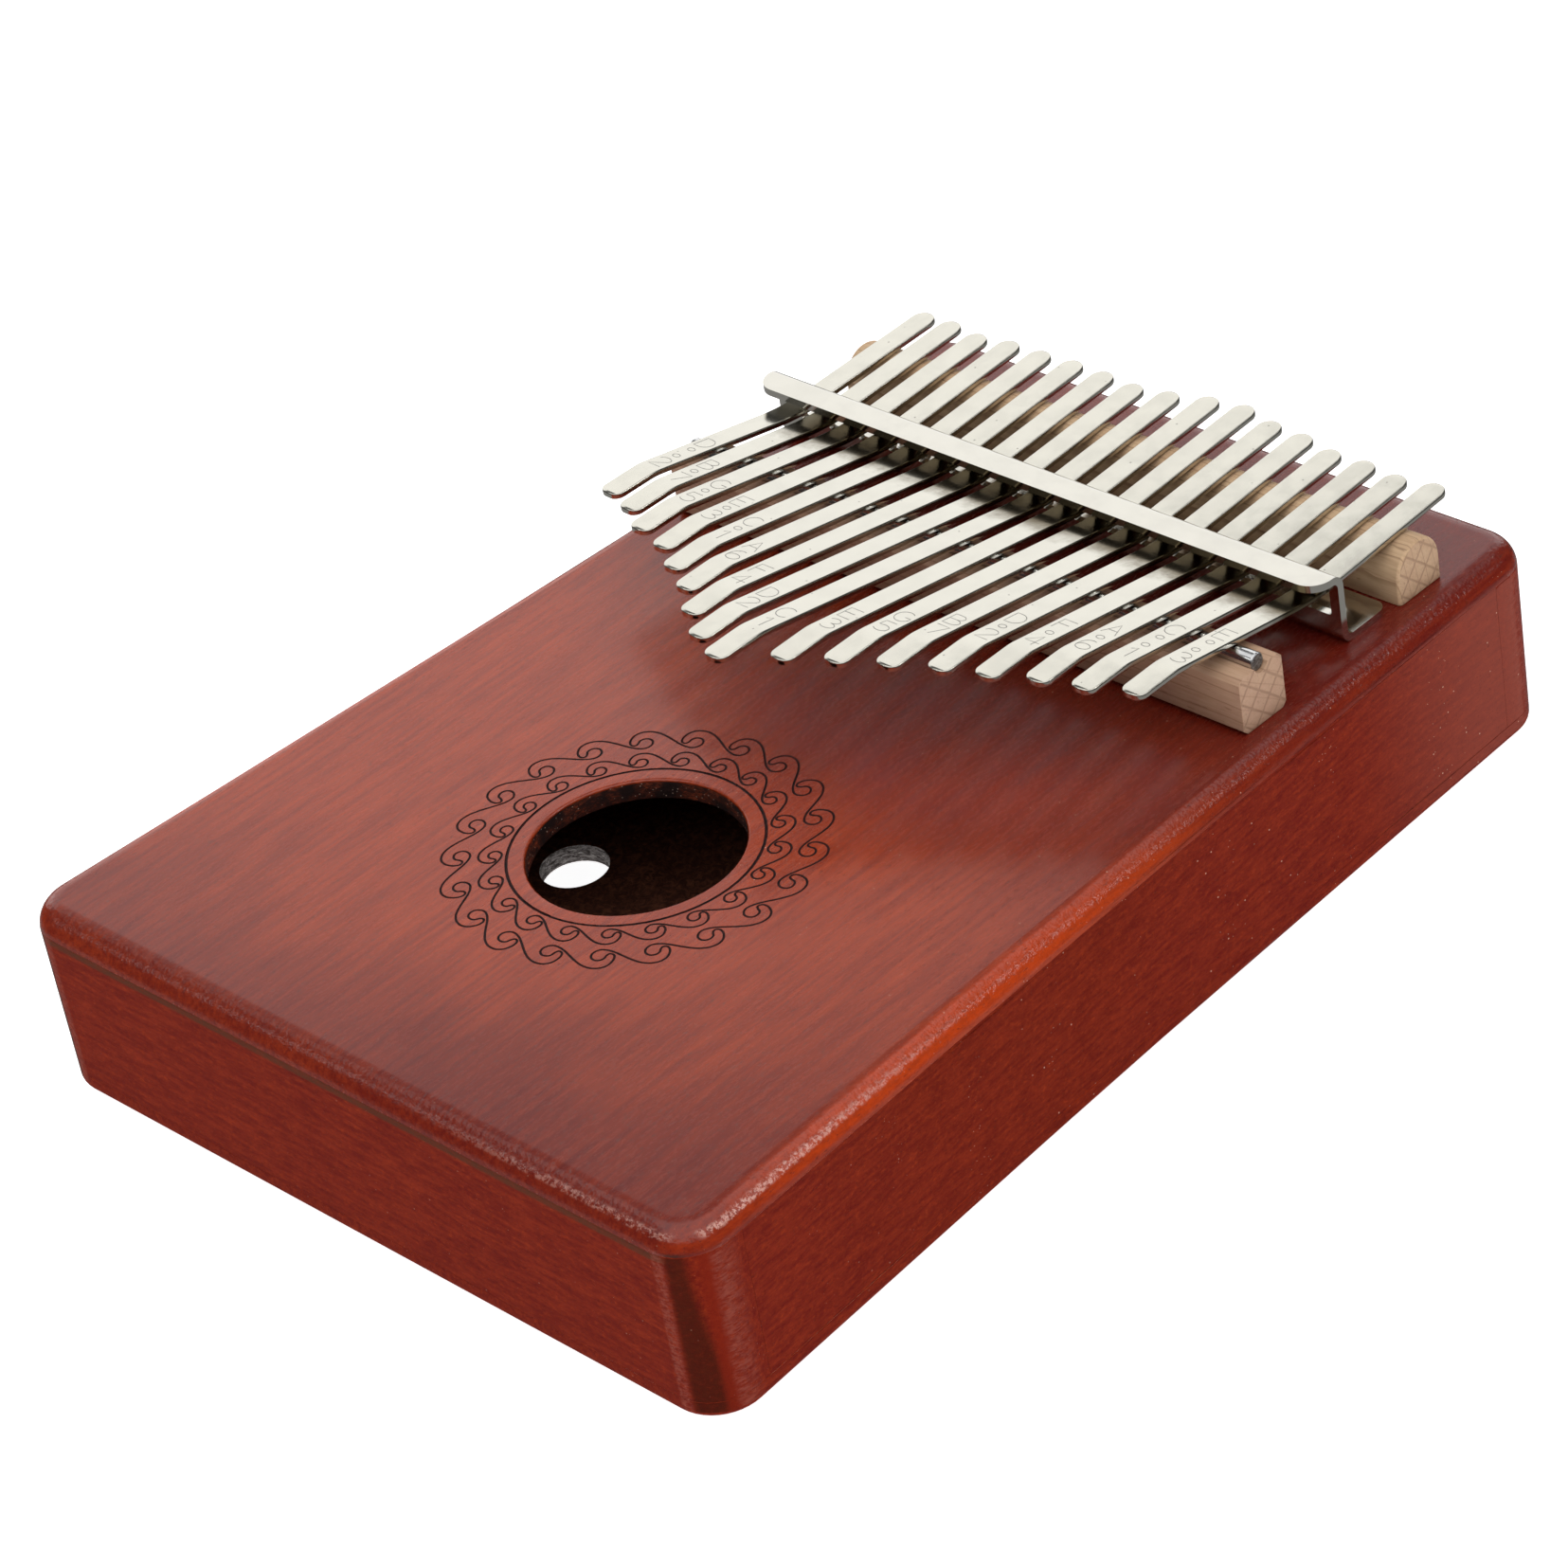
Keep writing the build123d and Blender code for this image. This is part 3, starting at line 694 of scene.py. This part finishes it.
def bend_key_piece(piece, number):
    """The tongue bends away from the rod; behind the rod the key keeps still."""
    joint = next(j for j in frame["joints"] if j["name"] == f"key_{number:02d}_flex")
    rod = Vector(joint["pos_m"])
    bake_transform(piece, "sound_box", f"key_{number:02d}_body", start=rod, end=(rod.x, rod.y - BEND_LENGTH, rod.z))


def arc(x, y, width, height, start, end):
    """Points of an elliptical arc, in degrees."""
    count = max(3, round(abs(end - start) / 18))
    turns = [math.radians(start + (end - start) * i / count) for i in range(count + 1)]
    return [(x + width * math.cos(t), y + height * math.sin(t)) for t in turns]


# Single-line characters, 2 mm wide and 3 mm tall, about their own middle.
GLYPHS = {
    "A": [[(-1, -1.5), (0, 1.5), (1, -1.5)], [(-0.6, -0.4), (0.6, -0.4)]],
    "B": [[(0, 0.1), (-0.9, 0.1), (-0.9, 1.5)] + arc(0.1, 0.8, 0.7, 0.7, 90, -90),
          [(-0.9, 0.1), (-0.9, -1.5)] + arc(0.1, -0.7, 0.9, 0.8, -90, 90)],
    "C": [arc(0.1, 0, 1.1, 1.5, 48, 312)],
    "D": [[(-0.9, 0), (-0.9, 1.5)] + arc(-0.2, 0, 1.2, 1.5, 90, -90) + [(-0.9, -1.5), (-0.9, 0)]],
    "E": [[(0.9, 1.5), (-0.9, 1.5), (-0.9, -1.5), (0.9, -1.5)], [(-0.9, 0.1), (0.6, 0.1)]],
    "F": [[(0.9, 1.5), (-0.9, 1.5), (-0.9, -1.5)], [(-0.9, 0.1), (0.6, 0.1)]],
    "G": [arc(0.1, 0, 1.1, 1.5, 48, 340) + [(1.1, -0.1), (0.3, -0.1)]],
    "1": [[(-0.6, 0.9), (0.1, 1.5), (0.1, -1.5)]],
    "2": [arc(0, 0.7, 0.9, 0.8, 170, -25) + [(-0.9, -1.5), (0.95, -1.5)]],
    "3": [arc(0, 0.75, 0.8, 0.75, 150, -90) + arc(0, -0.75, 0.95, 0.75, 90, -150)],
    "4": [[(0.4, -1.5), (0.4, 1.5), (-1, -0.6), (1, -0.6)]],
    "5": [[(0.8, 1.5), (-0.7, 1.5), (-0.8, 0.2)] + arc(0, -0.6, 0.95, 0.9, 120, -150)],
    "6": [arc(0.2, 0, 1.1, 1.5, 70, 180) + arc(0, -0.65, 0.9, 0.85, 180, -180)],
    "7": [[(-0.9, 1.5), (0.9, 1.5), (-0.2, -1.5)]],
    ".": [arc(0, 0, 0.5, 0.5, 0, 360)],
}


def add_stroke(bm, shape, centre, points, half_width=0.07 * MM):
    """One etched line laid on a key's upper face as a thin closed bar."""
    path = [Vector((x * MARK_WIDTH * MM, centre + y * MM)) for x, y in points]
    rings = []
    for i, here in enumerate(path):
        before, after = path[max(i - 1, 0)], path[min(i + 1, len(path) - 1)]
        way = (after - before).normalized()
        side = Vector((way.y, -way.x)) * half_width
        ring = []
        for sign, lift in ((1, 0.012 * MM), (-1, 0.012 * MM), (-1, -0.06 * MM), (1, -0.06 * MM)):
            spot = here + side * sign
            ring.append(bm.verts.new(shape.place(spot.y, spot.x, shape.height(spot.y, 1) + lift)))
        rings.append(ring)
    for first, second in zip(rings, rings[1:]):
        for i in range(4):
            j = (i + 1) % 4
            bm.faces.new((first[i], first[j], second[j], second[i]))
    bm.faces.new(list(reversed(rings[0])))
    bm.faces.new(rings[-1])


def make_marks(number, shape, ink):
    """The note letter, its octave circles and its number, etched behind the key's bend."""
    note = NOTES[number - 1]
    bm = bmesh.new()
    place = shape.start + (FLAT_LENGTH + MARK_TO_BEND) * MM
    previous = None
    for sign in reversed(note):
        if previous is not None:
            place += (PAIR_GAP if "." not in (sign, previous) else MARK_GAP) * MM
        for stroke in GLYPHS[sign]:
            add_stroke(bm, shape, place, stroke)
        previous = sign
    bmesh.ops.recalc_face_normals(bm, faces=bm.faces)
    name = f"key_{number:02d}_marks"
    mesh = bpy.data.meshes.new(name)
    bm.to_mesh(mesh)
    bm.free()
    marks = mesh_object(name, mesh, ink)
    bend_key_piece(marks, number)


# ------------------------------------------------------------------------------------------
# Stage
# ------------------------------------------------------------------------------------------
def make_floor():
    bm = bmesh.new()
    bmesh.ops.create_grid(bm, x_segments=8, y_segments=8, size=3.0)
    mesh = bpy.data.meshes.new("floor")
    bm.to_mesh(mesh)
    bm.free()
    s = Shade("pale_floor")
    shade = s.noise(s.place, 3.0, 2.0, 0.5)
    colour = s.blend(shade, (0.80, 0.80, 0.80, 1), (0.82, 0.82, 0.82, 1))
    material = s.finish(Base_Color=colour, Roughness=0.9, Emission_Color=(1, 1, 1, 1), Emission_Strength=0.93,
                        Specular_IOR_Level=0.0)
    floor = mesh_object("floor", mesh, material)
    floor.location.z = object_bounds()[0].z - 0.02 * MM
    floor.visible_glossy = False


def softbox(name, direction, distance, width, height, radiance):
    """A rectangular soft light that faces the object from a direction."""
    low, high = cad_box
    target = (low + high) / 2
    data = bpy.data.lights.new(name, "AREA")
    data.shape = "RECTANGLE"
    data.size = width
    data.size_y = height
    data.energy = radiance * math.pi * width * height
    light = bpy.data.objects.new(name, data)
    bpy.context.scene.collection.objects.link(light)
    way = Vector(direction).normalized()
    light.location = target + way * distance
    light.rotation_mode = "QUATERNION"
    light.rotation_quaternion = way.to_track_quat("Z", "Y")


def make_world():
    """White behind the object; softer, darker below, for what the object reflects."""
    world = bpy.data.worlds.new("studio")
    world.use_nodes = True
    bpy.context.scene.world = world
    tree = world.node_tree
    tree.nodes.clear()
    coords = tree.nodes.new("ShaderNodeTexCoord")
    split = tree.nodes.new("ShaderNodeSeparateXYZ")
    height = tree.nodes.new("ShaderNodeMapRange")
    room = tree.nodes.new("ShaderNodeBackground")
    white = tree.nodes.new("ShaderNodeBackground")
    path = tree.nodes.new("ShaderNodeLightPath")
    mix = tree.nodes.new("ShaderNodeMixShader")
    output = tree.nodes.new("ShaderNodeOutputWorld")
    low = tree.nodes.new("ShaderNodeMapRange")
    both = tree.nodes.new("ShaderNodeMath")
    low.inputs["From Min"].default_value = -0.15
    low.inputs["From Max"].default_value = -0.5
    low.inputs["To Min"].default_value = 0.0
    low.inputs["To Max"].default_value = 0.35
    height.inputs["From Min"].default_value = 0.0
    height.inputs["From Max"].default_value = 0.7
    height.inputs["To Min"].default_value = 0.03
    height.inputs["To Max"].default_value = 0.16
    white.inputs["Strength"].default_value = 1.0
    white.inputs["Color"].default_value = (1, 1, 1, 1)
    links = tree.links
    links.new(coords.outputs["Generated"], split.inputs[0])
    links.new(split.outputs[2], height.inputs[0])
    links.new(split.outputs[2], low.inputs[0])
    links.new(height.outputs[0], both.inputs[0])
    links.new(low.outputs[0], both.inputs[1])
    links.new(both.outputs[0], room.inputs["Strength"])
    links.new(path.outputs["Is Camera Ray"], mix.inputs[0])
    links.new(room.outputs[0], mix.inputs[1])
    links.new(white.outputs[0], mix.inputs[2])
    links.new(mix.outputs[0], output.inputs[0])


def make_camera():
    data = bpy.data.cameras.new("camera")
    data.lens = CAMERA_LENS
    data.sensor_width = 36.0
    data.shift_x, data.shift_y = CAMERA_SHIFT
    data.clip_start, data.clip_end = 0.02, 20.0
    camera = bpy.data.objects.new("camera", data)
    bpy.context.scene.collection.objects.link(camera)
    camera.location = CAMERA_PLACE
    roll = Matrix.Rotation(math.radians(CAMERA_ROLL), 3, "Z")
    camera.rotation_euler = (CAMERA_LOOK.to_track_quat("-Z", "Y").to_matrix() @ roll).to_euler()
    bpy.context.scene.camera = camera


# ------------------------------------------------------------------------------------------
# The object
# ------------------------------------------------------------------------------------------
make_camera()
make_world()
make_floor()
softbox("back_left_softbox", (-0.73, 0.62, 0.30), 1.36, 2.2, 1.06, 1.3)
softbox("overhead_softbox", (0.15, -0.15, 1.0), 1.2, 2.2, 2.2, 1.2)
softbox("right_back_strip", (0.66, 0.46, 0.60), 1.2, 0.24, 0.16, 8.0)
softbox("front_left_strip", (-0.58, -0.60, 0.56), 1.3, 0.2, 0.16, 4.0)

board_wood = mahogany("mahogany_board", (1.0, 18.0, 1.0), 0.5, 0.26, STAIN_DEEP, STAIN_WARM, 0.6)
side_long = mahogany("mahogany_sides", (1.0, 7.0, 1.0), 0.02, 0.34, SIDE_DEEP, SIDE_WARM, 1.0)
side_cross = mahogany("mahogany_ends", (7.0, 1.0, 1.0), 0.02, 0.34, END_DEEP, END_WARM, 1.0)
bare = bare_mahogany("bare_mahogany")
raw = unfinished("raw_inside", linear(84, 46, 34), linear(138, 84, 60))
scorched = unfinished("scorched_wall", linear(66, 58, 56), linear(196, 188, 184))
burnt = burnt_line("burnt_line")
front_tilt = (math.radians(35), 0, math.radians(20))
back_tilt = (math.radians(80), 0, math.radians(8))
pink_beech = beech("front_beech", linear(208, 172, 142), linear(196, 158, 134), front_tilt)
pale_beech = beech("back_beech", linear(222, 190, 152), linear(206, 172, 136), back_tilt)
key_steel = polished("key_steel", (0.61, 0.59, 0.52, 1), 0.12, 0.16, 0.006 * MM, True)
nickel = polished("nickel_plate", (0.62, 0.60, 0.54, 1), 0.09, 0.13, 0.006 * MM)
screw_steel = polished("screw_steel", (0.60, 0.58, 0.54, 1), 0.18, 0.28, 0.005 * MM)
rod_steel = drawn_rod("rod_steel")
ink = etched("etched_line")
spruce = raw_spruce("raw_spruce")

make_soundboard(board_wood, bare, burnt, raw)
make_rim("left_side", side_long, raw)
make_rim("right_side", side_long, raw)
make_rim("front_block", side_cross, raw)
make_rim("rear_block", side_cross, raw)
make_back_plate(side_long, raw, scorched)
detailed("bracket_brace", "bracket_brace_finished", "raw_spruce", 0.3 * MM, spruce)
detailed("front_bridge", "front_bridge_finished", "beech", 0.12 * MM, pink_beech)
detailed("back_bridge", "back_bridge_finished", "beech", 0.2 * MM, pale_beech)
detailed("saddle_rod", "saddle_rod_finished", "rod_steel", 0.08 * MM, rod_steel)
detailed("z_bracket", "z_bracket_finished", "nickel_plate", 0.34 * MM, nickel, segments=4)
detailed("bracket_screws", "bracket_screws_finished", "screw_steel", 0.08 * MM, screw_steel)
for number in range(1, KEY_COUNT + 1):
    make_marks(number, make_key(number, key_steel), ink)

bpy.context.scene.view_settings.view_transform = "Standard"
